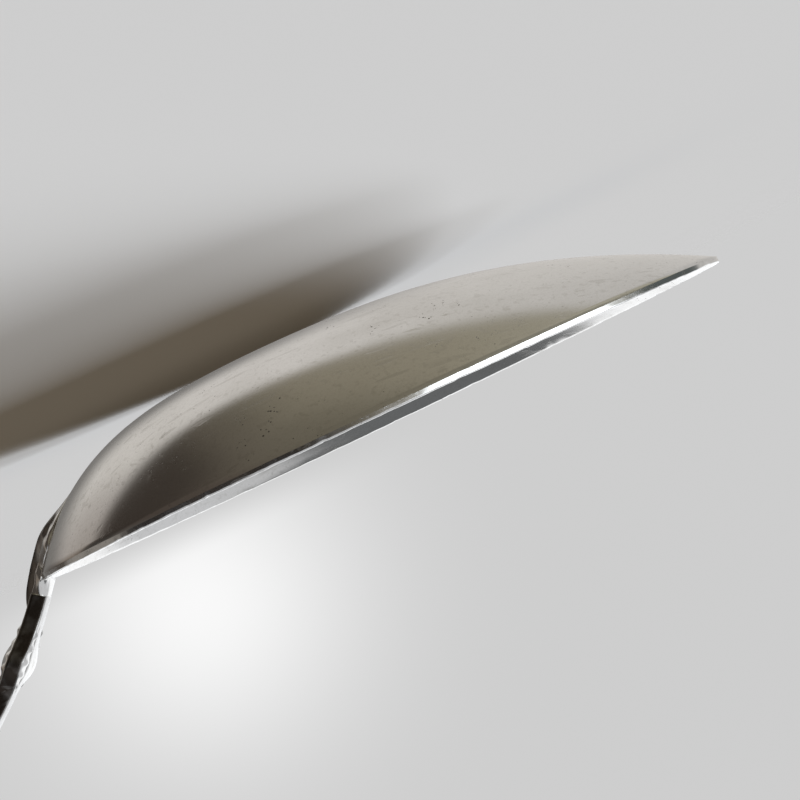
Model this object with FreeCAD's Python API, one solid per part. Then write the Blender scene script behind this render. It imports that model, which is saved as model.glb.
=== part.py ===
"""Bar spoon: pressed bowl, cast leaf heel and lobed neck, twisted square stem, disc muddler.

Millimetres. The spoon lies on its back: the rim plane is level, the bowl's keel and the
muddler's edge touch z = 0, the tip points to -X and the stem runs to +X. All pieces are
built with the neck end of the rim at x = 0 and are then centred along X.
"""

import FreeCAD
import Part
import math
import os

Vec = FreeCAD.Vector

# Bowl
bowl_length = 51.5  # rim, from the neck end to the tip
bowl_width = 32.0
bowl_depth = 8.1  # rim plane to the outside of the keel
keel_wall = 1.0
rim_land = 0.55  # width of the flat land on top of the rim
rim_edge = 0.45  # height of the upright edge face below the land
deepest_share = 0.41  # deepest point, as a share of the length from the neck end
egg = 0.15  # fuller at the neck, finer at the tip
wall_power = 2.78  # how boxy the cross-sections are
end_power = 0.23  # steeper towards the neck by this, gentler towards the tip

# Heel leaf, brazed to the back of the bowl over the root of the neck
heel_length = 5.6  # from the neck end of the rim towards the keel
heel_half_width = 3.0
heel_tip_thickness = 0.45  # upright thickness at the leaf's point
heel_rise = 0.21  # gain in upright thickness for each millimetre towards the neck
heel_overlap = 1.7  # how far the leaf runs up behind the neck

# Neck
neck_start_angle = 50.8  # above the rim plane, in degrees
neck_radius = 39.0  # radius of the neck's bend
neck_offset = 0.64  # root of the centreline, behind the rim
neck_lift = 0.62  # root of the centreline, above the rim plane
neck_foot = 1.3  # length below the root that seats against the bowl
neck_thickness = 1.15  # flat side face
neck_lobes = 5
node_half_width = 1.15
lobe_half_width = 2.4
foot_half_width = 2.4  # where the foot flares out to meet the bowl
flare_top = 0.6  # distance past the root where the flare ends
node_crown = 0.08  # how far the front and back stand proud of the side faces
lobe_crown = 0.43
lobe_skew = 1.8  # puts the fullest part of a lobe past its middle
boss_radius = 1.9  # round end of the neck, under the collar
boss_length = 1.2
tenon_radius = 0.9
tenon_length = 5.0  # inside the stem

# Collars
collar_radius = 2.75
collar_length = 2.4
collar_waist = 0.35  # depth of the hollows beside the bead

# Stem
stem_side = 2.9  # across the flats of the square
stem_chamfer = 0.3
stem_length = 195.0
stem_turns = 13

# Muddler
muddler_radius = 10.0
muddler_thickness = 2.6
muddler_edge = 0.8  # rounding of the rim
hub_length = 4.5
hub_radius = 2.4  # at the collar
hub_foot_radius = 4.2  # at the disc
stud_radius = 1.0
stud_reach = 4.6  # into the stem, and into the muddler

clearance = 0.02  # radial, between a tenon or stud and its hole
end_gap = 0.3  # below a tenon or stud in its blind hole

# Worked out from the sizes above
rim_z = bowl_depth
start = math.radians(neck_start_angle)
root = Vec(neck_offset, 0, rim_z + neck_lift)
handle_run = boss_length + collar_length + stem_length + collar_length + hub_length + muddler_thickness


def stem_slope():
    """The fall of the stem, in radians, that puts the muddler's outer edge on z = 0.

    The end of the bend is at root.z + R (cos a - cos start); the muddler's lowest point is
    then handle_run sin a + muddler_radius cos a further down.
    """
    constant = root.z - neck_radius * math.cos(start)
    cosine = neck_radius - muddler_radius
    return math.acos(-constant / math.hypot(cosine, handle_run)) - math.atan2(handle_run, cosine)


slope = stem_slope()
bend = start + slope
neck_arc = neck_radius * bend
bend_end = Vec(
    root.x + neck_radius * (math.sin(start) + math.sin(slope)),
    0,
    root.z + neck_radius * (math.cos(slope) - math.cos(start)),
)
along = Vec(math.cos(slope), 0, -math.sin(slope))
overall_end = bend_end.x + handle_run * along.x + muddler_radius * math.sin(slope)
centring = Vec((bowl_length - overall_end) / 2, 0, 0)


# ---- bowl ----------------------------------------------------------------------------


def egg_peak():
    """Largest value of sin(a) (1 - egg cos(a)), which scales the outline to its width."""
    cosine = (1 - math.sqrt(1 + 8 * egg * egg)) / (4 * egg)
    return math.sqrt(1 - cosine * cosine) * (1 - egg * cosine)


PEAK = egg_peak()
MIDDLE_X = -bowl_length / 2
DEEPEST_X = -bowl_length * deepest_share


def contour_point(rho, cosine, inset):
    """x and y of the level line rho of the pressed shape. Line 1 is the outline."""
    centre = DEEPEST_X + (MIDDLE_X - DEEPEST_X) * rho * rho
    x = centre - rho * (bowl_length / 2 - inset) * cosine
    sine = math.sqrt(max(0.0, 1 - cosine * cosine))
    y = rho * (bowl_width / 2 - inset) * sine * (1 - egg * cosine) / PEAK
    return x, y


def level_at(x, y, inset):
    """The level line through x, y, as (rho, cosine), found by halving."""
    reach = bowl_length / 2 - inset

    def offset(rho):
        centre = DEEPEST_X + (MIDDLE_X - DEEPEST_X) * rho * rho
        cosine = (centre - x) / (rho * reach)
        if abs(cosine) >= 1:
            return -1.0, max(-1.0, min(1.0, cosine))
        return contour_point(rho, cosine, inset)[1] - abs(y), cosine

    low, high = 1e-6, 2.5
    for _ in range(50):
        middle = (low + high) / 2
        if offset(middle)[0] < 0:
            low = middle
        else:
            high = middle
    return high, offset(high)[1]


def pressed_height(x, y, inset, drop, top):
    """Height of a pressed surface: top at line 1, drop lower at its deepest point."""
    rho, cosine = level_at(x, y, inset)
    return top - drop * (1 - rho ** (wall_power - end_power * cosine))


def space_above(height, x_margin=2.6, y_margin=1.6, step=1.3):
    """Solid of everything above the surface z = height(x, y), around the bowl."""
    x_low, x_high = -bowl_length - x_margin, x_margin
    y_high = bowl_width / 2 + y_margin
    columns = round((x_high - x_low) / step)
    rows = round(2 * y_high / step)
    grid = [
        [
            Vec(
                x_low + (x_high - x_low) * i / columns,
                -y_high + 2 * y_high * j / rows,
                0,
            )
            for j in range(rows + 1)
        ]
        for i in range(columns + 1)
    ]
    for line in grid:
        for point in line:
            point.z = height(point.x, point.y)
    surface = Part.BSplineSurface()
    surface.interpolate(grid)
    return surface.toShape().extrude(Vec(0, 0, 6 * bowl_depth))


def outline_prism():
    """The rim's outline, as an upright prism that ends at the rim plane."""
    count = 40
    points = []
    for i in range(count):
        angle = 2 * math.pi * i / count
        x, y = contour_point(1.0, math.cos(angle), 0.0)
        points.append(Vec(x, math.copysign(y, math.sin(angle)), -1))
    curve = Part.BSplineCurve()
    curve.interpolate(Points=points, PeriodicFlag=True)
    return Part.Face(Part.Wire(curve.toShape())).extrude(Vec(0, 0, rim_z + 1))


def outer_height(x, y):
    return pressed_height(x, y, 0.0, bowl_depth - rim_edge, rim_z - rim_edge)


def inner_height(x, y):
    return pressed_height(x, y, rim_land, bowl_depth - keel_wall, rim_z)


def bowl_block():
    """The bowl with its hollow filled level with the rim."""
    return outline_prism().common(space_above(outer_height))


def bowl(block):
    return block.cut(space_above(inner_height))


# ---- heel leaf -----------------------------------------------------------------------


def leaf_half_width(share):
    """Half-width of the leaf from its neck end, share 0, to its point, share 1."""
    return heel_half_width * math.sin(math.pi * (0.08 + 0.92 * share ** 1.15)) ** 0.75


def leaf_prism():
    span = heel_length + heel_overlap
    shares = [0, 0.12, 0.28, 0.45, 0.62, 0.78, 0.9, 0.97]
    upper = [Vec(heel_overlap - span * s, leaf_half_width(s), -1) for s in shares]
    lower = [Vec(p.x, -p.y, -1) for p in reversed(upper)]
    curve = Part.BSplineCurve()
    curve.interpolate(upper + [Vec(-heel_length, 0, -1)] + lower)
    back = Part.makeLine(lower[-1], upper[0])
    return Part.Face(Part.Wire([curve.toShape(), back])).extrude(Vec(0, 0, rim_z + 3))


def heel_height(x, y):
    """The leaf stands off the bowl's back, thicker to the neck and thinner at its edges."""
    edge_share = min(1.0, abs(y) / heel_half_width)
    thickness = heel_tip_thickness + heel_rise * max(0.0, x + heel_length)
    return outer_height(x, y) - thickness * (1 - 0.3 * edge_share ** 2)


def heel_leaf(block, neck_solid):
    """Between the back of the bowl, the leaf's own surface and the foot of the neck."""
    top = rim_z - 0.05
    profile = [
        (-heel_length - 1, 0),
        (heel_overlap, 0),
        (heel_overlap, rim_z + 0.6),
        (neck_offset, rim_z + 0.3),
        (0, top),
        (-heel_length - 1, top),
    ]
    corners = [Vec(x, -heel_half_width - 1, z) for x, z in profile]
    slab = Part.Face(Part.makePolygon(corners + corners[:1]))
    slab = slab.extrude(Vec(0, 2 * heel_half_width + 2, 0))
    leaf = leaf_prism().common(slab).common(space_above(heel_height)).cut(block)
    leaf = leaf.cut(neck_solid)
    return max(leaf.Solids, key=lambda s: s.Volume)


# ---- neck ----------------------------------------------------------------------------


def neck_frame(distance):
    """Centre, direction and outward (front) normal of the neck at a distance from its root."""
    angle = start - max(0.0, distance) / neck_radius
    centre = Vec(
        root.x + neck_radius * (math.sin(start) - math.sin(angle)),
        0,
        root.z + neck_radius * (math.cos(angle) - math.cos(start)),
    )
    direction = Vec(math.cos(angle), 0, math.sin(angle))
    if distance < 0:
        centre = centre + direction * distance
    return centre, direction, Vec(-direction.z, 0, direction.x)


def lobe_swell(distance):
    """0 at a node between lobes, 1 at the fullest part of a lobe."""
    share = (max(0.0, distance) / neck_arc * neck_lobes) % 1.0
    return math.sin(math.pi * share ** lobe_skew) ** 2


def neck_section(distance):
    """Flat sides, crowned front and back."""
    centre, _, front = neck_frame(distance)
    swell = lobe_swell(distance)
    flare = max(0.0, (flare_top - distance) / (flare_top + neck_foot)) ** 2
    half = node_half_width + (lobe_half_width - node_half_width) * swell
    half += (foot_half_width - node_half_width) * flare
    crown = node_crown + (lobe_crown - node_crown) * swell ** 2
    side = neck_thickness / 2

    def at(across, forward):
        return centre + Vec(0, across, 0) + front * forward

    edges = [
        Part.Arc(at(-half, side), at(0, side + crown), at(half, side)).toShape(),
        Part.makeLine(at(half, side), at(half, -side)),
        Part.Arc(at(half, -side), at(0, -side - crown), at(-half, -side)).toShape(),
        Part.makeLine(at(-half, -side), at(-half, side)),
    ]
    return Part.Wire(edges)


def turned(profile, origin, axis_direction):
    """A turned piece: profile is (distance along the axis, radius) from end to end."""
    points = [Vec(a, 0, r) for a, r in profile]
    face = Part.Face(Part.makePolygon(points + points[:1]))
    return placed(face.revolve(Vec(0, 0, 0), Vec(1, 0, 0), 360), origin, axis_direction)


def placed(shape, origin, direction):
    """Moves a shape built along +X from 0 so that it starts at origin and points that way."""
    shape.Placement = FreeCAD.Placement(origin, FreeCAD.Rotation(Vec(1, 0, 0), direction))
    return shape


def rod(radius, length, distance):
    """A cylinder on the stem's axis, from a distance past the end of the neck's bend."""
    return Part.makeCylinder(radius, length, bend_end + along * distance, along)


def neck(block):
    steps_per_lobe = 8
    count = steps_per_lobe * neck_lobes
    foot = [-neck_foot * share for share in (1, 0.66, 0.33)]
    distances = foot + [neck_arc * i / count for i in range(count + 1)]
    ribbon = Part.makeLoft([neck_section(d) for d in distances], True, False)
    boss = rod(boss_radius, boss_length, 0)
    tenon = rod(tenon_radius, boss_length + collar_length + tenon_length, 0)
    return ribbon.fuse([boss, tenon]).cut(block).removeSplitter()


# ---- collars, stem and muddler -------------------------------------------------------


def collar(distance, bore_radius):
    """A ring with a round bead between two hollows."""
    bore = bore_radius + clearance
    waist = collar_radius - collar_waist
    middle = collar_length / 2
    bead = 0.28 * collar_length
    outline = [
        Vec(0, 0, bore),
        Vec(0, 0, waist),
        Vec(middle - bead, 0, waist),
        Vec(middle + bead, 0, waist),
        Vec(collar_length, 0, waist),
        Vec(collar_length, 0, bore),
    ]
    edges = [
        Part.makeLine(outline[0], outline[1]),
        Part.makeLine(outline[1], outline[2]),
        Part.Arc(outline[2], Vec(middle, 0, collar_radius), outline[3]).toShape(),
        Part.makeLine(outline[3], outline[4]),
        Part.makeLine(outline[4], outline[5]),
        Part.makeLine(outline[5], outline[0]),
    ]
    ring = Part.Face(Part.Wire(edges)).revolve(Vec(0, 0, 0), Vec(1, 0, 0), 360)
    return placed(ring, bend_end + along * distance, along)


def helix_edge(radius, phase):
    steps = 12 * stem_turns
    points = []
    for i in range(steps + 1):
        angle = phase + 2 * math.pi * stem_turns * i / steps
        points.append(
            Vec(stem_length * i / steps, radius * math.cos(angle), radius * math.sin(angle))
        )
    curve = Part.BSplineCurve()
    curve.interpolate(points)
    return curve


def strip_between(low, high):
    """The ruled face between two helices, which share their knots."""
    surface = Part.BSplineSurface()
    surface.buildFromPolesMultsKnots(
        [low.getPoles(), high.getPoles()],
        [2, 2],
        low.getMultiplicities(),
        [0, 1],
        low.getKnots(),
        False,
        False,
        1,
        low.Degree,
    )
    return surface.toShape()


def twisted_bar():
    """Square bar with small chamfers, twisted right-handed at an even pitch."""
    half = stem_side / 2
    corner = half - stem_chamfer
    radius = math.hypot(half, corner)
    spread = math.atan2(corner, half)
    phases = [q * math.pi / 2 + side * spread for q in range(4) for side in (-1, 1)]
    edges = [helix_edge(radius, p) for p in phases]
    faces = [strip_between(a, b) for a, b in zip(edges, edges[1:] + edges[:1])]
    for ring in ([e.StartPoint for e in edges], [e.EndPoint for e in edges]):
        faces.append(Part.Face(Part.makePolygon(ring + ring[:1])))
    shell = Part.makeShell(faces)
    shell.sewShape()
    bar = Part.makeSolid(shell)
    bar.fix(1e-5, 1e-5, 1e-4)
    return bar


stem_start = boss_length + collar_length
stem_end = stem_start + stem_length
hub_start = stem_end + collar_length


def twisted_stem():
    bar = placed(twisted_bar(), bend_end + along * stem_start, along)
    socket = rod(tenon_radius + clearance, tenon_length + end_gap, stem_start)
    depth = stud_reach + end_gap
    stud_hole = rod(stud_radius + clearance, depth, stem_end - depth)
    return bar.cut(socket).cut(stud_hole)


def muddler_stud():
    return rod(stud_radius, 2 * stud_reach + collar_length, stem_end - stud_reach)


def muddler():
    """A flared hub and a flat disc with rounded edges, bored for the stud."""
    disc_start = hub_length
    disc_end = hub_length + muddler_thickness
    bulge = muddler_edge * (1 - math.sqrt(0.5))
    edges = [
        Part.makeLine(Vec(0, 0, 0), Vec(0, 0, hub_radius)),
        Part.Arc(
            Vec(0, 0, hub_radius),
            Vec(0.62 * hub_length, 0, hub_radius + 0.12 * (hub_foot_radius - hub_radius)),
            Vec(disc_start, 0, hub_foot_radius),
        ).toShape(),
        Part.makeLine(
            Vec(disc_start, 0, hub_foot_radius),
            Vec(disc_start, 0, muddler_radius - muddler_edge),
        ),
        Part.Arc(
            Vec(disc_start, 0, muddler_radius - muddler_edge),
            Vec(disc_start + bulge, 0, muddler_radius - bulge),
            Vec(disc_start + muddler_edge, 0, muddler_radius),
        ).toShape(),
        Part.makeLine(
            Vec(disc_start + muddler_edge, 0, muddler_radius),
            Vec(disc_end - muddler_edge, 0, muddler_radius),
        ),
        Part.Arc(
            Vec(disc_end - muddler_edge, 0, muddler_radius),
            Vec(disc_end - bulge, 0, muddler_radius - bulge),
            Vec(disc_end, 0, muddler_radius - muddler_edge),
        ).toShape(),
        Part.makeLine(Vec(disc_end, 0, muddler_radius - muddler_edge), Vec(disc_end, 0, 0)),
        Part.makeLine(Vec(disc_end, 0, 0), Vec(0, 0, 0)),
    ]
    body = Part.Face(Part.Wire(edges)).revolve(Vec(0, 0, 0), Vec(1, 0, 0), 360)
    body = placed(body, bend_end + along * hub_start, along)
    return body.cut(rod(stud_radius + clearance, stud_reach + end_gap, hub_start))


def export(name, shape):
    shape = shape.copy()
    shape.translate(centring)
    shape.exportStep(f"parts/{name}.step")
    box = shape.optimalBoundingBox(True, False)
    print(
        f"{name}: {len(shape.Solids)} solid, valid {shape.isValid()}, {shape.Volume:.1f} mm3, "
        f"x {box.XMin:.2f} to {box.XMax:.2f}, y {box.YMin:.2f} to {box.YMax:.2f}, "
        f"z {box.ZMin:.2f} to {box.ZMax:.2f}"
    )


def main():
    os.makedirs("parts", exist_ok=True)
    block = bowl_block()
    neck_solid = neck(block)
    export("bowl", bowl(block))
    export("heel_leaf", heel_leaf(block, neck_solid))
    export("neck", neck_solid)
    export("neck_collar", collar(boss_length, tenon_radius))
    export("twisted_stem", twisted_stem())
    export("muddler_collar", collar(stem_end, stud_radius))
    export("muddler_stud", muddler_stud())
    export("muddler", muddler())


main()
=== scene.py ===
import math

import bpy
import numpy as np
from mathutils import Matrix, Vector


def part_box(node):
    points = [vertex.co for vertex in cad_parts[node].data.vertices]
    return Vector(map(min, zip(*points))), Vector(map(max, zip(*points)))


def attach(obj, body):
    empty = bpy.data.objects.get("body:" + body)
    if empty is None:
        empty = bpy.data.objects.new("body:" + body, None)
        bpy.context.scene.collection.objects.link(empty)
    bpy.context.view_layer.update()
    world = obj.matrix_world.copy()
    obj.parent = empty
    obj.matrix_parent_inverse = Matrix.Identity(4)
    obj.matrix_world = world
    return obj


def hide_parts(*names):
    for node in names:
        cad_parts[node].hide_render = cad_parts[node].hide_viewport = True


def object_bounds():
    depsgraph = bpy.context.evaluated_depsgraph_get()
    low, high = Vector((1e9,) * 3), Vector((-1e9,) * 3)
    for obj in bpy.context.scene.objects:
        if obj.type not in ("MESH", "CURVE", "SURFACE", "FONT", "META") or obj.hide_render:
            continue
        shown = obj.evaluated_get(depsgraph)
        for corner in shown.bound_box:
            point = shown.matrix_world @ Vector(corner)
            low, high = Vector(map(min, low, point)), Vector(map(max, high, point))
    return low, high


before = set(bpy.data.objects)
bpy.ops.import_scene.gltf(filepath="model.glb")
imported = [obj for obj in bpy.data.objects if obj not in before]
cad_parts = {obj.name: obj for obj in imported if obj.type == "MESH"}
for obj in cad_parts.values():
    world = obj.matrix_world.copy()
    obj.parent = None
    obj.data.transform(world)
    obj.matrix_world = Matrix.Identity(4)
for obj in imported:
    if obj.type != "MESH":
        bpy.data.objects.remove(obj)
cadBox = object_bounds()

mm = 0.001
scene = bpy.context.scene


class Wire:
    # One socket in a node tree. Operators on wires add Math nodes.
    def __init__(self, tree, socket=None):
        self.tree = tree
        self.socket = socket

    def make(self, kind, settings=None, values=None, out=0):
        # Any node: settings first, then a value or a wire for each named or numbered socket.
        node = self.tree.nodes.new(kind)
        for name, value in (settings or {}).items():
            if name == "stops":
                ramp = node.color_ramp
                while len(ramp.elements) < len(value):
                    ramp.elements.new(0.5)
                for element, (place, colour) in zip(ramp.elements, value):
                    element.position = place
                    element.color = (*colour, 1)
            else:
                setattr(node, name, value)
        for name, value in (values or {}).items():
            if isinstance(value, Wire):
                self.tree.links.new(value.socket, node.inputs[name])
            else:
                node.inputs[name].default_value = value
        return Wire(self.tree, node.outputs[out])

    def math(self, operation, *values, clamp=False):
        settings = {"operation": operation, "use_clamp": clamp}
        return self.make("ShaderNodeMath", settings, dict(enumerate(values)))

    def __add__(self, other):
        return self.math("ADD", self, other)

    def __sub__(self, other):
        return self.math("SUBTRACT", self, other)

    def __mul__(self, other):
        return self.math("MULTIPLY", self, other)

    def __truediv__(self, other):
        return self.math("DIVIDE", self, other)

    def __pow__(self, other):
        return self.math("POWER", self, other)

    def __rsub__(self, other):
        return self.math("SUBTRACT", other, self)

    def __rtruediv__(self, other):
        return self.math("DIVIDE", other, self)

    def __rpow__(self, other):
        return self.math("POWER", other, self)

    def __neg__(self):
        return self.math("MULTIPLY", self, -1.0)

    __radd__ = __add__
    __rmul__ = __mul__

    def clamp(self):
        return self.math("ADD", self, 0.0, clamp=True)

    def least(self, other):
        return self.math("MINIMUM", self, other)

    def most(self, other):
        return self.math("MAXIMUM", self, other)

    def step(self, low, high):
        # 0 below low, 1 above high, smooth between them.
        settings = {"interpolation_type": "SMOOTHSTEP"}
        return self.make("ShaderNodeMapRange", settings, {0: self, 1: low, 2: high})

    def colours(self, below, above):
        # Mixes two colours, plain ones or wires, with this wire as the share of the second.
        ends = [c if isinstance(c, Wire) else (*c, 1) for c in (below, above)]
        settings = {"data_type": "RGBA", "clamp_factor": True}
        return self.make("ShaderNodeMix", settings, {0: self, 6: ends[0], 7: ends[1]}, out=2)

    def dot(self, other):
        settings = {"operation": "DOT_PRODUCT"}
        return self.make("ShaderNodeVectorMath", settings, {0: self, 1: other}, out=1)

    def length(self):
        return self.make("ShaderNodeVectorMath", {"operation": "LENGTH"}, {0: self}, out=1)

    def scaled(self, amount):
        return self.make("ShaderNodeVectorMath", {"operation": "SCALE"}, {0: self, "Scale": amount})

    def parts(self):
        node = self.make("ShaderNodeSeparateXYZ", None, {0: self}).socket.node
        return [Wire(self.tree, output) for output in node.outputs]


def skin(name, points, slot, material, *nodes, patina=None):
    # A tube through rings of points (ring, place on the ring, xyz), each end closed by a fan
    # to the middle of its last ring. Its signed volume, one sixth of the sum of a . (b x c)
    # over its triangles, says whether the faces need turning to point outwards.
    rings, places = points.shape[:2]
    corner = np.arange(rings * places).reshape(rings, places)
    beside = np.roll(corner, -1, axis=1)
    quads = np.stack([corner[:-1], beside[:-1], beside[1:], corner[1:]], -1).reshape(-1, 4)
    first, last = rings * places, rings * places + 1
    fans = np.concatenate([
        np.stack([np.full(places, first), beside[0], corner[0]], -1),
        np.stack([np.full(places, last), corner[-1], beside[-1]], -1),
    ])
    spots = np.concatenate([points.reshape(-1, 3), [points[0].mean(0), points[-1].mean(0)]])
    triangles = np.concatenate([quads[:, [0, 1, 2]], quads[:, [0, 2, 3]], fans])
    a, b, c = (spots[triangles[:, k]] for k in range(3))
    if np.einsum("ij,ij->", a, np.cross(b, c)) < 0:
        quads, fans = quads[:, ::-1], fans[:, ::-1]
    mesh = bpy.data.meshes.new(name)
    mesh.vertices.add(len(spots))
    mesh.vertices.foreach_set("co", spots.astype(np.float32).ravel())
    mesh.loops.add(quads.size + fans.size)
    corners = np.concatenate([quads.ravel(), fans.ravel()])
    mesh.loops.foreach_set("vertex_index", corners.astype(np.int32))
    starts = np.concatenate([np.arange(len(quads)) * 4, quads.size + np.arange(len(fans)) * 3])
    mesh.polygons.add(len(starts))
    mesh.polygons.foreach_set("loop_start", starts.astype(np.int32))
    mesh.polygons.foreach_set("use_smooth", np.ones(len(starts), bool))
    mesh.update(calc_edges=True)
    mesh.validate()
    # The stored field is patina, and on the neck's flat sides painted shade.
    if patina is not None:
        field = np.concatenate([np.broadcast_to(patina, (rings, places)).ravel(), [0, 0]])
        layer = mesh.attributes.new("patina", "FLOAT", "POINT")
        layer.data.foreach_set("value", field.astype(np.float32))
    piece = bpy.data.objects.new(name, mesh)
    scene.collection.objects.link(piece)
    mesh.materials.append(material)
    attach(piece, "root")
    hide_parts(*nodes)
    print(name, "made,", len(spots), "points")
    return piece


def smooth(low, high, value):
    # 3 t squared less 2 t cubed, where t is the share of the way from low to high.
    share = np.clip((value - low) / (high - low), 0, 1)
    return share * share * (3 - 2 * share)


plate = {
    "bright": (0.84, 0.83, 0.81),
    "dull": (0.67, 0.655, 0.625),
    "pit": (0.10, 0.085, 0.07),
    # The dark colour below is patina, and also painted shade on the neck's flat sides.
    "patina": (0.045, 0.036, 0.030),
    "roughness": 0.13,
    "grain": 1.0,
    "lathe": 0.0,  # depth of the turning marks
    "latheWaves": 26000.0,  # radians of them to the metre
    "bump": 0.3,
    "bumpDepth": 0.00003,
    # Hairlines: turn, tilt and scale of each direction.
    "scratches": [(0.15, 0.2, 1400), (-0.35, -0.3, 1700), (0.6, 0.1, 2100), (-0.9, 0.2, 1900)],
    "pits": [(1700.0, 0.10), (3200.0, 0.14)],  # scale, and size within a cell
}


def metal(name, look, axis=None, start=(0, 0, 0)):
    # Worn plate: clouds of dulling, fine grain, hairline scratches in four directions, small
    # pits that come in patches, and dark patina where the piece's own field asks for it. On the
    # neck's flat sides that field is painted shade, not patina.
    material = bpy.data.materials.new(name)
    material.use_nodes = True
    tree = material.node_tree
    tree.nodes.clear()
    wire = Wire(tree)
    place = wire.make("ShaderNodeTexCoord", None, None, out=3)

    def noise(scale, detail, stretch=(1, 1, 1), turn=(0, 0, 0)):
        moved = wire.make(
            "ShaderNodeMapping", None, {"Vector": place, "Rotation": turn, "Scale": stretch}
        )
        return wire.make(
            "ShaderNodeTexNoise", None, {"Vector": moved, "Scale": scale, "Detail": detail}
        )

    cloud = noise(110, 5).step(0.35, 0.68)
    smear = noise(260, 4, (0.35, 1, 1), (0, 0, 0.3)).step(0.42, 0.72)
    grain = noise(5200, 4)
    fleck = noise(1900, 4).step(0.57, 0.66)
    scratches = None
    for angle, tilt, scale in look["scratches"]:
        line = noise(scale, 0, (0.022, 1, 1), (0, tilt, angle)).step(0.74, 0.765)
        scratches = line if scratches is None else scratches.most(line)
    scratches = scratches * noise(300, 2).step(0.42, 0.6)
    patch = noise(170, 3).step(0.50, 0.60)
    pits = None
    for scale, size in look["pits"]:
        wobble = noise(6000, 1) * 0.16
        cell = wire.make("ShaderNodeTexVoronoi", None, {"Vector": place, "Scale": scale})
        dot = 1 - (cell + wobble).step(size + 0.05, size + 0.12)
        pits = dot if pits is None else pits.most(dot)
    pits = pits * noise(900, 1).step(0.52, 0.60) * (0.25 + 0.75 * patch)
    dull = (0.36 * cloud + 0.28 * smear + 0.30 * fleck + 0.3 * grain.step(0.45, 0.75)).clamp()
    colour = dull.colours(look["bright"], look["dull"])
    colour = (scratches * 0.5).colours(colour, look["dull"])
    colour = (pits * 0.85).colours(colour, look["pit"])
    # The field holds patina in grooves, hollows and joints, and painted shade on the neck's flat
    # sides. Both darken towards the dark plate colour.
    field = wire.make("ShaderNodeAttribute", {"attribute_name": "patina"}, None, out=2)
    stainAndShade = (field * (0.75 + 0.5 * noise(900, 4)) * (1 - 0.3 * scratches)).clamp()
    colour = stainAndShade.colours(colour, look["patina"])
    rough = look["roughness"] + 0.05 * cloud + 0.05 * fleck + 0.08 * scratches
    rough = rough + 0.4 * pits + 0.2 * stainAndShade
    height = 0.06 * look["grain"] * grain - 0.22 * scratches - 0.3 * pits - 0.05 * fleck
    if axis is not None:
        # Lathe rings: fine waves of the distance along the axis plus the distance from it.
        apart = wire.make("ShaderNodeVectorMath", {"operation": "SUBTRACT"}, {0: place, 1: start})
        far = apart.dot(axis)
        full = apart.length()
        radius = (full * full - far * far).most(0.0) ** 0.5
        rings = wire.math("SINE", (far + radius) * look["latheWaves"] + noise(90, 1) * 9.0)
        height = height + look["lathe"] * rings
        rough = rough + 0.04 * rings
    bump = wire.make(
        "ShaderNodeBump",
        None,
        {"Strength": look["bump"], "Distance": look["bumpDepth"], "Height": height},
    )
    shader = wire.make(
        "ShaderNodeBsdfPrincipled",
        None,
        {"Base Color": colour, "Metallic": 1.0, "Roughness": rough, "Normal": bump},
    )
    end = tree.nodes.new("ShaderNodeOutputMaterial")
    tree.links.new(shader.socket, end.inputs[0])
    return material


bowlMetal = metal("bowlMetal", plate)
castMetal = metal("castMetal", {**plate, "roughness": 0.17, "grain": 2.0})
barMetal = metal("barMetal", {**plate, "roughness": 0.15, "grain": 1.5})


bowl = {
    "deepShare": 0.41,  # deepest point, from the neck end
    "egg": 0.15,
    "wallPower": 2.78,
    "endPower": 0.23,
    "edge": 0.45 * mm,
    "land": 0.55 * mm,
    "keelWall": 1.0 * mm,
    "rimRound": 0.09 * mm,
    "nicks": 46,
    "nickSeed": 11,
    "wave": 0.012 * mm,  # how far the rim wanders
}
bowlLow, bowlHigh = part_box("bowl")
bowlLength = bowlHigh.x - bowlLow.x
bowlWidth = bowlHigh.y - bowlLow.y
rimZ = bowlHigh.z
keelZ = bowlLow.z
neckX = bowlHigh.x
eggCosine = (1 - math.sqrt(1 + 8 * bowl["egg"] ** 2)) / (4 * bowl["egg"])
eggPeak = math.sqrt(1 - eggCosine ** 2) * (1 - bowl["egg"] * eggCosine)


def levelLine(rho, angle, inset=0.0):
    # Egg: an ellipse scaled by rho, its width multiplied by 1 - egg cos(angle), whose centre
    # slides from the deepest point to mid-length as rho squared. Angle 0 is the tip.
    deepX = neckX - bowlLength * bowl["deepShare"]
    middleX = neckX - bowlLength / 2
    x = deepX + (middleX - deepX) * rho ** 2 - rho * (bowlLength / 2 - inset) * np.cos(angle)
    y = rho * (bowlWidth / 2 - inset) * np.sin(angle) * (1 - bowl["egg"] * np.cos(angle)) / eggPeak
    return x, y


def pressedZ(rho, angle, top, drop):
    # Height: top less drop times 1 - rho to the power of the wall, a little less at the tip.
    return top - drop * (1 - rho ** (bowl["wallPower"] - bowl["endPower"] * np.cos(angle)))


def outerZ(rho, angle):
    # The back: from the foot of the edge face down to the keel.
    return pressedZ(rho, angle, rimZ - bowl["edge"], rimZ - bowl["edge"] - keelZ)


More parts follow.
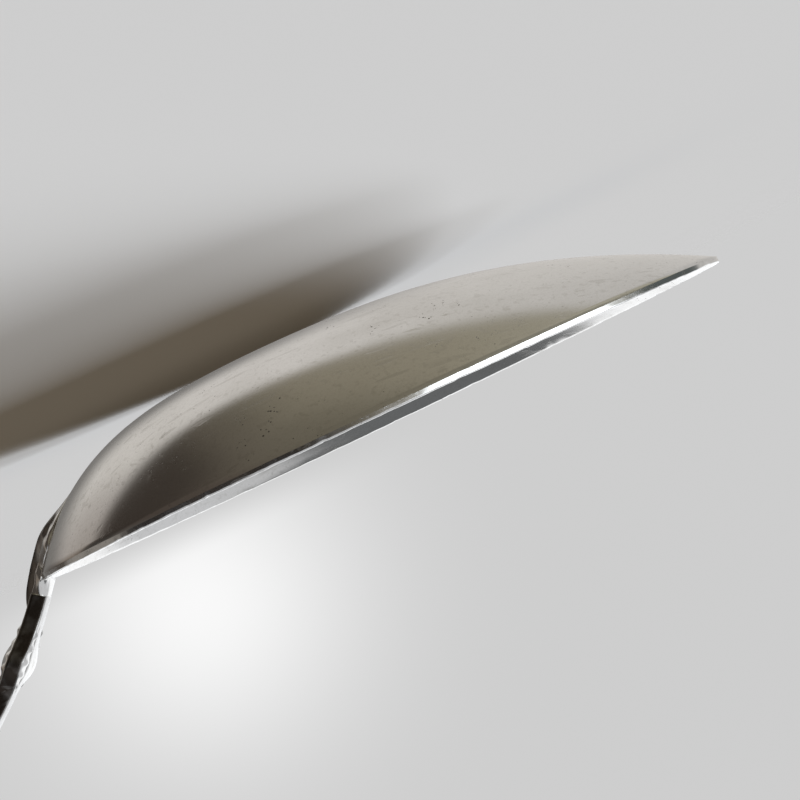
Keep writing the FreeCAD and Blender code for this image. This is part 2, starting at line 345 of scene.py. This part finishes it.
def makeBowl():
    # One profile carried round the egg: up the back, over the edge face and the land, down
    # the hollow. The rim's nicks are narrow bell curves along it.
    angle = np.linspace(0, 2 * np.pi, 640, endpoint=False)[None, :]
    seed = np.random.default_rng(bowl["nickSeed"])
    nicks = np.zeros_like(angle)
    for _ in range(bowl["nicks"]):
        centre, width = seed.uniform(0, 2 * np.pi), seed.uniform(0.003, 0.008)
        depth = seed.uniform(0.01, 0.06)
        gap = (angle - centre + np.pi) % (2 * np.pi) - np.pi
        nicks += depth * mm * np.exp(-((gap / width) ** 2))
    wave = np.sin(17 * angle + 1) + np.sin(41 * angle + 2) + 0.6 * np.sin(97 * angle)
    wave = bowl["wave"] * wave
    rings = []
    rho = np.linspace(0.012, 1, 72)[:, None]
    x, y = levelLine(rho, angle)
    rings.append(np.stack([x, y, outerZ(rho, angle)], -1))
    turn = np.linspace(0, np.pi / 2, 6)
    r = bowl["rimRound"]
    edge, land = bowl["edge"], bowl["land"]
    acrossLand = [0.4 * land, 0.65 * land, 0.85 * land, 0.96 * land]
    upEdge = [0.85 * edge, 0.6 * edge, 0.35 * edge]
    inset = np.concatenate([[0, 0, 0], r * (1 - np.cos(turn)), acrossLand])[:, None]
    drop = np.concatenate([upEdge, r * (1 - np.sin(turn)), [0, 0, 0, 0.004 * mm]])[:, None]
    amount = 1 - drop / edge
    x, y = levelLine(np.ones_like(inset), angle, inset + amount * (0.5 * nicks + 0.4 * wave))
    rings.append(np.stack([x, y, rimZ - drop - amount * (nicks + np.abs(wave))], -1))
    rho = np.linspace(0.995, 0.012, 58)[:, None]
    x, y = levelLine(rho, angle, land)
    hollow = pressedZ(rho, angle, rimZ, rimZ - keelZ - bowl["keelWall"])
    rings.append(np.stack([x, y, hollow - 0.012 * mm * (rho > 0.99)], -1))
    return skin("Bowl", np.concatenate(rings), "bowl", bowlMetal, "bowl")


makeBowl()


collarLow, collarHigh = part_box("neck_collar")
farLow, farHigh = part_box("muddler_collar")
collarMiddle = np.array((collarLow + collarHigh) / 2)
farMiddle = np.array((farLow + farHigh) / 2)
along = (farMiddle - collarMiddle) / np.linalg.norm(farMiddle - collarMiddle)
across = np.array([0.0, 1.0, 0.0])
above = np.cross(along, across)
slope = math.asin(-along[2])

collar = {
    "length": 2.4 * mm,
    "radius": 2.75 * mm,
    "waist": 0.35 * mm,  # how far its ends step in
}
boss = {
    "length": 1.2 * mm,
    "radius": 1.9 * mm,
}
bendEnd = collarMiddle - along * (collar["length"] / 2 + boss["length"])

neck = {
    "startAngle": math.radians(50.8),
    "radius": 39.0 * mm,
    "foot": 2.0 * mm,
    "thickness": 1.15 * mm,
    "lobes": 5,
    "nodeHalf": 1.15 * mm,
    "lobeHalf": 2.4 * mm,
    "lobeCrown": 0.43 * mm,
    "nodeCrown": 0.1 * mm,
    "skew": 1.8,
    "shoulder": 0.1 * mm,  # where the flat sides begin
    "fillet": 1.5 * mm,
    "spread": 1.1 * mm,
    "beads": 8,
}
neckArc = neck["radius"] * (neck["startAngle"] + slope)
rootX = bendEnd[0] - neck["radius"] * (math.sin(slope) + math.sin(neck["startAngle"]))
rootZ = bendEnd[2] - neck["radius"] * (math.cos(slope) - math.cos(neck["startAngle"]))


heel = {
    "length": 4.4 * mm,
    "behind": 1.93 * mm,
    "halfWidth": 2.85 * mm,
    "tipThickness": 0.42 * mm,
    "rise": 0.2,
    "taper": 0.85,  # how much thinner it gets towards the point
    "scallops": 4,
    "neckHalf": 1.0 * mm,  # half-width where it runs up the neck
}


def surfaceAt(x, y, inset, heightOf):
    # A bowl surface over any point: rho found by halving, 40 times, for whole arrays. Gives
    # its height there and rho, which is over 1 outside the outline.
    deepX = neckX - bowlLength * bowl["deepShare"]
    middleX = neckX - bowlLength / 2
    reach = bowlLength / 2 - inset
    low, high = np.full_like(x, 1e-6), np.full_like(x, 2.5)
    for _ in range(40):
        rho = (low + high) / 2
        cosine = (deepX + (middleX - deepX) * rho ** 2 - x) / (rho * reach)
        angle = np.arccos(np.clip(cosine, -1, 1))
        inside = (np.abs(cosine) >= 1) | (levelLine(rho, angle, inset)[1] < np.abs(y))
        low, high = np.where(inside, rho, low), np.where(inside, high, rho)
    cosine = (deepX + (middleX - deepX) * high ** 2 - x) / (high * reach)
    return heightOf(high, np.arccos(np.clip(cosine, -1, 1))), high


def makeHeelLeaf():
    # A leaf laid on the back of the bowl. Along it, share s runs from behind the neck (0) to
    # the point (1); the half-width is a sine hump with shallow scallops. Around it, one ring
    # goes across the outside and back under the surface. A raised drop in the middle steps
    # down to a thinner border, and the end behind rounds into the back of the neck.
    share = np.linspace(0.0, 1.0, 150)[:, None]
    share = share + 0.03 * np.sin(2 * np.pi * share)
    around = np.linspace(0, 2 * np.pi, 120, endpoint=False)[None, :]
    sideways = np.cos(around)
    hump = np.clip(np.sin(np.pi * (0.10 + 0.885 * share ** 1.1)), 1e-4, 1) ** 0.62
    hump = hump * np.sqrt(np.clip(1 - np.clip((share - 0.93) / 0.072, 0, 1) ** 2, 1e-3, 1))
    scallop = 1 - 0.05 * np.abs(np.sin(np.pi * heel["scallops"] * share))
    half = heel["halfWidth"] * hump * scallop
    x = neckX + heel["behind"] - (heel["length"] + heel["behind"]) * share + 0 * sideways
    narrow = smooth(neckX - 1.7 * mm, neckX + 0.2 * mm, x)
    half = half + (np.minimum(half, heel["neckHalf"]) - half) * narrow
    y = half * sideways
    base = heel["tipThickness"] + heel["rise"] * (x - neckX + 5.6 * mm)
    base = base * (1 - heel["taper"] * smooth(0.40, 1.0, share))
    reach = np.abs(sideways)
    edge = reach + 0.22 * share
    drop = 1 - smooth(0.50, 0.66, edge)
    groove = np.exp(-(((edge - 0.70) / 0.06) ** 2))
    flute = 0.5 + 0.5 * np.cos(2 * np.pi * 2 * heel["scallops"] * share + 4 * reach)
    tier = 0.60 + 0.40 * drop - 0.14 * groove - 0.06 * (1 - drop) * flute
    dome = np.sqrt(np.clip(1 - reach ** 7, 0, 1))
    outer, _ = surfaceAt(x, y, 0.0, outerZ)
    lower = outer - base * tier * (0.1 + 0.9 * dome)
    steep = math.tan(neck["startAngle"])
    middleZ = rootZ + (x - rootX) * steep
    backZ = middleZ - (neck["thickness"] / 2) / math.cos(neck["startAngle"])
    t = np.clip((x - neckX - 1.35 * mm) / (heel["behind"] - 1.35 * mm), 0, 1)
    lower = lower + (backZ + 0.05 * mm - lower) * (1 - np.sqrt(np.clip(1 - t ** 2, 0, 1)))
    hidden = np.minimum(outer + 0.2 * mm, middleZ + 0.1 * mm)
    z = np.where(np.sin(around) >= 0, lower, np.maximum(hidden, lower + 0.02 * mm))
    stainAndShade = np.clip(0.9 * groove + 0.75 * drop * smooth(0.15, 0.45, edge) + 0.15 * flute, 0, 1)
    points = np.stack([x, y, z], -1)
    return skin("HeelLeaf", points, "heel_leaf", castMetal, "heel_leaf", patina=stainAndShade)


makeHeelLeaf()


def neckFrame(distance):
    # The middle line is an arc that ends where the collar's boss begins, with its slope.
    # Below the root it runs on straight. Gives centre, direction and front normal.
    angle = neck["startAngle"] - np.clip(distance, 0, None) / neck["radius"]
    radius = neck["radius"]
    x = bendEnd[0] - radius * (math.sin(slope) + np.sin(angle))
    z = bendEnd[2] - radius * (math.cos(slope) - np.cos(angle))
    below = np.clip(distance, None, 0)
    direction = np.stack([np.cos(angle), 0 * angle, np.sin(angle)], -1)
    centre = np.stack([x, 0 * x, z], -1) + below[..., None] * direction
    front = np.stack([-direction[..., 2], 0 * angle, direction[..., 0]], -1)
    return centre, direction, front


def innerZ(rho, angle):
    # The hollow: from the rim down to the wall's thickness over the keel.
    return pressedZ(rho, angle, rimZ, rimZ - keelZ - bowl["keelWall"])


def makeNeck():
    # Rings along the bend. Each is a rectangle pulled in at its corners by a power: softly at
    # the root, where it flares to the rim, hardly at all along the flat-sided lobes. The
    # crowned front and back carry a raised drop and a row of beads along each edge.
    distance = np.concatenate([
        np.linspace(-neck["foot"], neck["shoulder"] - 0.05 * mm, 70, endpoint=False),
        np.linspace(neck["shoulder"] - 0.05 * mm, neck["shoulder"] + 0.1 * mm, 12, endpoint=False),
        np.linspace(neck["shoulder"] + 0.1 * mm, neckArc, 600),
    ])[:, None]
    share = (np.clip(distance, 0, neckArc * 0.99999) / neckArc * neck["lobes"]) % 1.0
    swell = np.sin(np.pi * share ** neck["skew"]) ** 2
    block = smooth(neck["shoulder"] - 0.03 * mm, neck["shoulder"] + 0.05 * mm, distance)
    half = neck["nodeHalf"] + (neck["lobeHalf"] - neck["nodeHalf"]) * swell
    reach = np.clip((neck["shoulder"] - distance) / neck["fillet"], 0, 0.985)
    half = half - 0.1 * mm * (1 - block) + neck["spread"] * (1 - np.sqrt(1 - reach ** 2))
    crown = neck["nodeCrown"] + (neck["lobeCrown"] - neck["nodeCrown"]) * swell ** 2
    # Around a ring: front, right side, back, left side.
    flat = np.linspace(-1, 1, 49)
    wall = np.linspace(1, -1, 11)[1:-1]
    u = np.concatenate([flat, np.ones(9), flat[::-1], -np.ones(9)])[None, :]
    w = np.concatenate([np.ones(49), wall, -np.ones(49), -wall])[None, :]
    face = np.concatenate([np.ones(49), np.zeros(9), -np.ones(49), np.zeros(9)])[None, :]
    power = 2.6 + 15.4 * block
    pull = (np.abs(u) ** power + np.abs(w) ** power) ** (-1 / power)
    beadRow = 0.5 + 0.5 * np.cos(2 * np.pi * neck["beads"] * share)
    ridge = np.exp(-(((np.abs(u) - 0.80) / 0.10) ** 2)) * beadRow * smooth(0.05, 0.25, swell)
    ditch = np.exp(-(((np.abs(u) - 0.60) / 0.08) ** 2)) * smooth(0.03, 0.3, swell)
    dropShape = smooth(0.25, 1.0, swell) * (1 - smooth(0.2, 0.42, np.abs(u)))
    relief = 0.13 * mm * ridge - 0.09 * mm * ditch + 0.10 * mm * dropShape
    arch = crown * (1 - u ** 2)
    forward = neck["thickness"] / 2 * w * pull + face * (arch + relief)
    sideways = half * u * pull
    centre, direction, front = neckFrame(distance[:, 0])
    points = centre[:, None, :] + front[:, None, :] * forward[..., None]
    points = points + across * sideways[..., None]
    # Where the root flares it stays between the bowl's two surfaces.
    x, y, z = points[..., 0], points[..., 1], points[..., 2]
    outer, _ = surfaceAt(x, y, 0.0, outerZ)
    inner, rho = surfaceAt(x, y, bowl["land"], innerZ)
    spread = (1 - block) * smooth(1.0 * mm, 1.5 * mm, np.abs(y))
    z = z + spread * np.clip(outer + 0.02 * mm - z, 0, None)
    proud = (rho < 1) & (z > inner - 0.02 * mm) & (distance < -0.9 * mm)
    z = np.where(proud, np.minimum(z, inner - 0.02 * mm), z)
    points = np.stack([x, y, z], -1)
    # Painted shade: the flat sides are darkened almost to the dark plate colour all along, standing
    # in for the dark that their polish mirrors. The ditches and the narrow nodes get patina in
    # their hollows.
    paintedSideShade = 1 - np.abs(face)
    stainAndShade = np.clip(block * (0.92 * paintedSideShade + 0.8 * ditch + 0.35 * (1 - swell)), 0, 1)
    return skin("Neck", points, "neck", castMetal, "neck", patina=stainAndShade)


makeNeck()


turnedMetal = metal(
    "turnedMetal", {**plate, "roughness": 0.15, "lathe": 0.12}, tuple(along), tuple(collarMiddle)
)

def revolve(name, profile, start, slotName, node, places=128, grooves=()):
    # A turned piece: (distance, radius) pairs carried round the stem's axis. Patina is a bell
    # curve of the distance to each groove.
    profile = np.array(profile)
    stainAndShade = 0.04 + 0 * profile[:, :1]
    for groove, width in grooves:
        stainAndShade = np.maximum(stainAndShade, 0.8 * np.exp(-(((profile[:, :1] - groove) / width) ** 2)))
    turn = np.linspace(0, 2 * np.pi, places, endpoint=False)
    ringDirection = np.cos(turn)[:, None] * across + np.sin(turn)[:, None] * above
    points = (start + profile[:, None, :1] * along) + profile[:, None, 1:] * ringDirection
    stainAndShade = stainAndShade + np.zeros((1, places))
    return skin(name, points, slotName, turnedMetal, node, patina=stainAndShade)


def softened(profile, radius, steps=5):
    # Rounds each inner corner of a profile with a quadratic curve that starts radius away.
    profile = [np.array(p, float) for p in profile]
    made = [profile[0]]
    for before, corner, after in zip(profile, profile[1:], profile[2:]):
        gaps = [np.linalg.norm(before - corner), np.linalg.norm(after - corner)]
        cut = min(radius, 0.45 * gaps[0], 0.45 * gaps[1])
        a = corner + (before - corner) * cut / gaps[0]
        b = corner + (after - corner) * cut / gaps[1]
        t = np.linspace(0, 1, steps)[:, None]
        made.extend((1 - t) ** 2 * a + 2 * t * (1 - t) * corner + t ** 2 * b)
    made.append(profile[-1])
    return np.array(made)


def collarProfile():
    # Two plain ends and between them a bead, a half ellipse over the waist.
    length, radius = collar["length"], collar["radius"]
    waist = radius - collar["waist"]
    bead = 0.28 * length
    turn = np.linspace(-1, 1, 21)
    middle = [
        (length / 2 + bead * t, waist + collar["waist"] * math.sqrt(1 - t * t)) for t in turn
    ]
    ends = softened([(0, 0.3 * mm), (0, waist), (length / 2 - bead, waist)], 0.12 * mm)
    far = [(length - d, r) for d, r in reversed(ends)]
    return list(map(tuple, ends[:-1])) + middle + far[1:]


bar = {
    "side": 2.9 * mm,
    "length": 195.0 * mm,
    "turns": 13,
    "power": 9.0,  # how square it is
    "groovePatina": 0.30,
    "endPatina": 0.5,
}


def makeStem():
    # A rounded square whose turn grows evenly along the bar: radius from the support of a
    # superellipse, so the arrises are soft and the flats slightly hollow from wear.
    turns = bar["turns"]
    distance = np.linspace(0, bar["length"], turns * 44 + 1)[:, None]
    place = np.linspace(0, 2 * np.pi, 64, endpoint=False)[None, :]
    power = bar["power"]
    half = bar["side"] / 2
    radius = np.abs(np.cos(place)) ** power + np.abs(np.sin(place)) ** power
    radius = half / radius ** (1 / power)
    turn = place + 2 * np.pi * turns * distance / bar["length"]
    start = bendEnd + along * (boss["length"] + collar["length"])
    ring = np.cos(turn)[..., None] * across + np.sin(turn)[..., None] * above
    points = start + distance[..., None] * along + radius[..., None] * ring
    hollow = 1 - (radius - radius.min()) / (radius.max() - radius.min())
    ends = np.minimum(distance, bar["length"] - distance)
    stainAndShade = bar["groovePatina"] * hollow ** 2 + bar["endPatina"] * np.exp(-(ends / (1.2 * mm)) ** 2)
    return skin("TwistedStem", points, "stem", barMetal, "twisted_stem", patina=stainAndShade)


muddler = {
    "hubLength": 4.5 * mm,
    "hubRadius": 2.4 * mm,
    "hubFoot": 4.2 * mm,
    "radius": 10.0 * mm,
    "thickness": 2.6 * mm,
    "edge": 0.8 * mm,  # radius of its rounded edges
}


def makeMuddler():
    # Hub radius grows as a tenth of the share t plus nine tenths of t to the fourth; the
    # disc's two edges are quarter circles, and its face is flat.
    hub, foot = muddler["hubRadius"], muddler["hubFoot"]
    length, disc = muddler["hubLength"], muddler["radius"]
    flare = [
        (length * t, hub + (foot - hub) * (0.1 * t + 0.9 * t ** 4))
        for t in np.linspace(0.04, 0.97, 24)
    ]
    edge, end = muddler["edge"], length + muddler["thickness"]
    turn = np.linspace(0, math.pi / 2, 9)
    outer = [(length + edge * (1 - math.cos(a)), disc - edge * (1 - math.sin(a))) for a in turn]
    face = [(end - edge * (1 - math.cos(a)), disc - edge * (1 - math.sin(a))) for a in turn[::-1]]
    inner = [(end, disc * s) for s in (0.8, 0.6, 0.4, 0.2, 0.05)]
    profile = [(0, 0.3 * mm), (0, hub - 0.1 * mm)] + flare
    profile += [(length, foot + 0.15 * mm), (length, disc * 0.7)] + outer + face + inner
    start = farMiddle + along * collar["length"] / 2
    grooves = [(0.0, 0.25 * mm), (length - 0.05 * mm, 0.22 * mm)]
    return revolve("Muddler", profile, start, "muddler", "muddler", 160, grooves)


def makeNeckBoss():
    # The round end of the neck, under the collar: a short turned drum with soft edges.
    length, radius = boss["length"], boss["radius"]
    end = length + 0.02 * mm
    profile = [(0, 0.3 * mm), (0, radius), (end, radius), (end, 0.3 * mm)]
    grooves = [(length, 0.2 * mm)]
    profile = softened(profile, 0.35 * mm, 9)
    return revolve("NeckBoss", profile, bendEnd, "neck", "neck", 96, grooves)


collarStart = bendEnd + along * boss["length"]
makeNeckBoss()
collarGrooves = [(share * collar["length"], 0.12 * mm) for share in (0.22, 0.78)]
ring = collarProfile()
revolve("NeckCollar", ring, collarStart, "collar", "neck_collar", grooves=collarGrooves)
makeStem()
farStart = farMiddle - along * collar["length"] / 2
revolve("MuddlerCollar", ring, farStart, "collar", "muddler_collar", grooves=collarGrooves)
makeMuddler()
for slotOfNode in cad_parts["muddler_stud"].material_slots:
    slotOfNode.material = barMetal


studio = {
    "floor": (0.80, 0.80, 0.80),
    "level": 0.615,  # how bright the open floor is to the camera
    "ambient": (0.150, 0.124, 0.092),
    "floorRadius": 0.289,
    "glow": 0.33,  # the soft brightness behind, and where it is
    "glowTurn": 5.9,
    "glowRise": 0.3,
    "glowWidth": 0.0596,
    "lamps": [
        # turn from the back towards the tip, rise over the floor, width, share of the light
        (-19.0, 4.6, 7.0, 0.68),
        (-30.0, 11.0, 12.0, 0.32),
    ],
}


def makeFloor():
    # A round of pale card. Past its edge the camera sees the room at the same brightness.
    mesh = bpy.data.meshes.new("Floor")
    turn = np.linspace(0, 2 * np.pi, 128, endpoint=False)
    z = cadBox[0].z - 0.02 * mm
    edge = studio["floorRadius"] * np.stack([np.cos(turn), np.sin(turn), 0 * turn], -1)
    mesh.from_pydata((edge + [0, 0, z]).tolist(), [], [list(range(128))])
    floor = bpy.data.objects.new("Floor", mesh)
    scene.collection.objects.link(floor)
    material = bpy.data.materials.new("paleFloor")
    material.use_nodes = True
    shader = material.node_tree.nodes["Principled BSDF"]
    shader.inputs["Base Color"].default_value = (*studio["floor"], 1)
    shader.inputs["Roughness"].default_value = 1.0
    shader.inputs["Specular IOR Level"].default_value = 0.0
    wire = Wire(material.node_tree)
    place = wire.make("ShaderNodeTexCoord", None, None, out=3)
    far = place.length()
    radius = studio["floorRadius"]
    fade = 1 - far.step(0.66 * radius, 0.98 * radius)
    material.node_tree.links.new(fade.socket, shader.inputs["Alpha"])
    mesh.materials.append(material)
    floor.visible_glossy = False


room = {
    # Below the metal, by direction along the bar: the dark towards the handle, olive under the tip.
    "under": [
        (-0.57, (0.21, 0.20, 0.165)),
        (-0.26, (0.150, 0.137, 0.105)),
        (0.087, (0.112, 0.100, 0.076)),
        (0.42, (0.068, 0.056, 0.046)),
        (0.71, (0.056, 0.045, 0.038)),
        (0.92, (0.070, 0.064, 0.058)),
    ],
    # Behind it, where the keel looks.
    "pale": [
        (-0.57, (0.42, 0.41, 0.40)),
        (-0.26, (0.48, 0.465, 0.445)),
        (0.0, (0.52, 0.50, 0.48)),
        (0.42, (0.52, 0.50, 0.475)),
        (0.60, (0.36, 0.335, 0.315)),
        (0.90, (0.165, 0.135, 0.11)),
    ],
    "above": (0.50, 0.51, 0.53),
    "bright": (0.95, 0.97, 1.0),
    "overhead": (0.11, 0.115, 0.12),
    "band": (0.014, 0.012, 0.011),
    "window": (2.6, 2.75, 2.9),
    "tip": (0.075, 0.085, 0.085),
    "card": (0.21, 0.195, 0.18),
    "gain": 1.28,  # makes up for what the metal takes
}


def makeWorld():
    # What the metal mirrors is painted by direction: x along the bar to the muddler, y away
    # from the camera, z up. side is y against z, so 1 looks level to the back, 0 straight down.
    world = bpy.data.worlds.new("studio")
    scene.world = world
    world.use_nodes = True
    tree = world.node_tree
    tree.nodes.clear()
    wire = Wire(tree)
    direction = wire.make("ShaderNodeTexCoord", None, None, out=0)
    x, y, z = direction.parts()

    def between(value, low, high, soft):
        # 1 from low to high, with an edge of soft each way.
        return value.step(low - soft, low + soft) * (1 - value.step(high - soft, high + soft))

    def alongBar(stops):
        # A ramp over x, which runs from -1 to 1.
        places = [((place + 1) / 2, colour) for place, colour in stops]
        return wire.make("ShaderNodeValToRGB", {"stops": places}, {0: (x + 1) / 2})

    side = y / ((y * y + z * z) ** 0.5).most(0.001)
    under = alongBar(room["under"])
    lift = 1 + 0.55 * between(side, -0.12, 0.4, 0.15) * (1 - x.step(-0.02, 0.2))
    lift = lift - 0.4 * between(side, -0.2, 0.35, 0.1) * x.step(0.2, 0.4)
    under = under.scaled(lift)
    pale = alongBar(room["pale"])
    shade = 1 - 0.7 * side.step(0.75, 0.97) * x.step(-0.15, 0.1)
    pale = pale.scaled(shade)
    colour = (side - 0.16 * x.step(0.5, 0.95)).step(0.27, 0.43).colours(under, pale)
    above = y.step(0.15, 0.6).colours(room["above"], room["bright"])
    colour = z.step(-0.02, 0.08).colours(colour, above)
    overhead = (0.18 * x + 0.98 * z).step(0.915, 0.955)
    colour = overhead.colours(colour, room["overhead"])
    front = (1 - y.step(-0.1, 0.15)) * between(z, -0.09, 0.11, 0.05)
    colour = (front * x.step(-0.25, 0.1)).colours(colour, room["band"])
    window = between(z, -0.08, 0.4, 0.05) * between(x, -0.87, -0.38, 0.06)
    window = (1 - y.step(-0.35, -0.2)) * window
    colour = window.colours(colour, room["window"])
    tipSide = (1 - x.step(-0.97, -0.91)) * between(z, -0.3, 0.2, 0.05)
    colour = tipSide.colours(colour, room["tip"])
    colour = x.step(0.90, 0.975).colours(colour, room["card"])
    rays = wire.make("ShaderNodeLightPath").socket.node
    camera = Wire(tree, rays.outputs["Is Camera Ray"])
    glossy = Wire(tree, rays.outputs["Is Glossy Ray"])
    bounced = Wire(tree, rays.outputs["Diffuse Depth"]).clamp()
    seen = (glossy * (1 - bounced)).colours(studio["ambient"], colour)
    turn, rise = math.radians(studio["glowTurn"]), math.radians(studio["glowRise"])
    aim = (math.sin(turn) * math.cos(rise), math.cos(turn) * math.cos(rise), math.sin(rise))
    near = direction.dot(aim)
    glow = wire.math("EXPONENT", (near - 1) * (2 / studio["glowWidth"] ** 2))
    glow = glow * z.step(-0.029, -0.010)
    level = studio["level"] + studio["glow"] * glow
    plain = wire.make("ShaderNodeCombineXYZ", None, {0: level, 1: level, 2: level})
    seen = camera.colours(seen, plain)
    light = wire.make(
        "ShaderNodeBackground", None, {"Color": seen, "Strength": 1 + glossy * (room["gain"] - 1)}
    )
    end = tree.nodes.new("ShaderNodeOutputWorld")
    tree.links.new(light.socket, end.inputs[0])


def makeLamps():
    # Distant soft lamps. Each one's power is worked out from its share of the floor's
    # brightness: radiance = albedo * power * sin(rise) / pi.
    albedo = studio["floor"][0]
    for index, (turn, rise, width, share) in enumerate(studio["lamps"]):
        lamp = bpy.data.lights.new("Lamp%d" % index, "SUN")
        light = np.array([studio["level"] - albedo * c for c in studio["ambient"]]) * share
        light = light * math.pi / (albedo * math.sin(math.radians(rise)))
        lamp.energy = light.max()
        lamp.color = light / light.max()
        lamp.angle = math.radians(width)
        seat = bpy.data.objects.new("Lamp%d" % index, lamp)
        scene.collection.objects.link(seat)
        turn, rise = math.radians(turn), math.radians(rise)
        flat = math.cos(rise)
        away = Vector((math.sin(turn) * flat, math.cos(turn) * flat, math.sin(rise)))
        seat.rotation_euler = away.to_track_quat("Z", "Y").to_euler()
        seat.visible_glossy = False


view = {
    "aimShare": 0.534,  # along the bowl, from the neck end
    "aimBelowRim": 0.86 * mm,
    "distance": 180 * mm,
    "elevation": math.radians(1.8),
    "turn": math.radians(205.3),
    "lens": 117.0,
}


def makeCamera():
    # Looks along +Y, level with the rim, and turned about its own line of sight.
    camera = bpy.data.cameras.new("Camera")
    camera.lens = view["lens"]
    camera.sensor_width = 36
    camera.clip_start, camera.clip_end = 0.005, 50
    seat = bpy.data.objects.new("Camera", camera)
    scene.collection.objects.link(seat)
    rise, turn = view["elevation"], view["turn"]
    back = Vector((0, -math.cos(rise), math.sin(rise)))
    levelRight, levelUp = Vector((1, 0, 0)), Vector((0, math.sin(rise), math.cos(rise)))
    right = levelRight * math.cos(turn) + levelUp * math.sin(-turn)
    up = levelUp * math.cos(turn) - levelRight * math.sin(-turn)
    target = Vector((neckX - view["aimShare"] * bowlLength, 0, rimZ - view["aimBelowRim"]))
    place = Matrix((right, up, back)).transposed().to_4x4()
    place.translation = target + back * view["distance"]
    seat.matrix_world = place
    scene.camera = seat


makeFloor()
makeWorld()
makeLamps()
makeCamera()
scene.view_settings.view_transform = "Standard"
print("floor, light and camera made")
